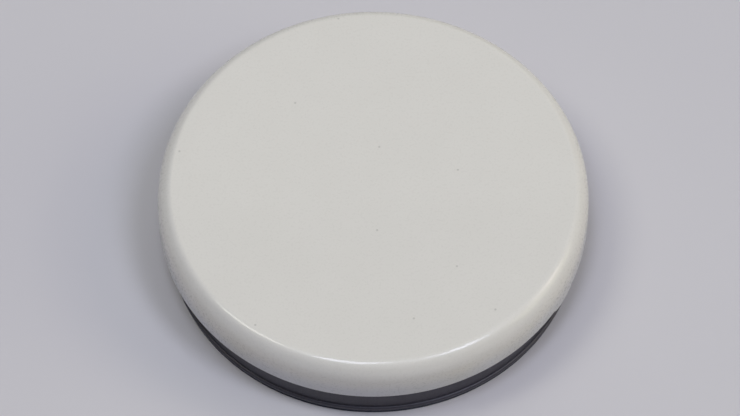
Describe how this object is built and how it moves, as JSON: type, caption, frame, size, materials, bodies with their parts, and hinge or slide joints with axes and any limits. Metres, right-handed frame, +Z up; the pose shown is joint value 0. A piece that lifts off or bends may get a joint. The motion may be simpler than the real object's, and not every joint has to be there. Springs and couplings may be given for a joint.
{
  "type": "coin vibration motor",
  "caption": "Flat round vibration motor: white domed-edge cover over a dark steel case, with an eccentric rotor spinning on a fixed shaft inside.",
  "frame": {"origin": "centre of the underside of the mounting pad, on the spin axis", "axes": "+Z up along the spin axis, out of the white cover; +Y towards the folded contact tongue; +X towards the heavy side of the rotor at rest"},
  "size_m": [0.012, 0.012, 0.0027],
  "materials": {
    "cover_white": "smooth gloss moulding, faintly warm white",
    "bond_film": "clear adhesive film",
    "case_black": "drawn steel with a dark electro-coat, satin",
    "plate_black": "pressed steel with a dark electro-coat, satin",
    "pad_foam": "fine-celled acrylic foam tape, matt",
    "shaft_steel": "ground and polished",
    "washer_film": "punched polyester film, slightly milky",
    "magnet_nickel": "nickel plated, satin",
    "magnet_glue": "cured amber adhesive",
    "flex_amber": "amber polyimide film with copper tracks under it",
    "contact_gold": "gold plated, satin",
    "brush_alloy": "pale precious-metal alloy strip",
    "solder": "bright reflowed solder",
    "bearing_bronze": "sintered bronze, fine pores",
    "frame_resin": "glass-filled resin, matt black",
    "board_green": "glass-fibre laminate under green solder mask",
    "coil_copper": "enamelled copper wire, self-bonded",
    "weight_tungsten": "sintered tungsten alloy, dull grey"
  },
  "bodies": {
    "stator": {"adhesive_pad": "pad_foam", "base_plate": "plate_black", "brush_negative": "brush_alloy", "brush_positive": "brush_alloy", "brush_solder": "solder", "case": "case_black", "contact_pads": "contact_gold", "cover": "cover_white", "cover_adhesive": "bond_film", "flex_circuit": "flex_amber", "lower_washer": "washer_film", "magnet": "magnet_nickel", "magnet_adhesive": "magnet_glue", "shaft": "shaft_steel", "upper_washer": "washer_film"},
    "rotor": {"bearing": "bearing_bronze", "commutator_board": "board_green", "commutator_segments": "contact_gold", "coil_left": "coil_copper", "coil_right": "coil_copper", "coil_solder": "solder", "counterweight": "weight_tungsten", "rotor_frame": "frame_resin"}
  },
  "joints": [
    {"name": "rotor_spin", "type": "hinge", "parent": "stator", "child": "rotor", "pos_m": [0, 0, 0.0015], "axis": [0, 0, 1], "continuous": true}
  ]
}
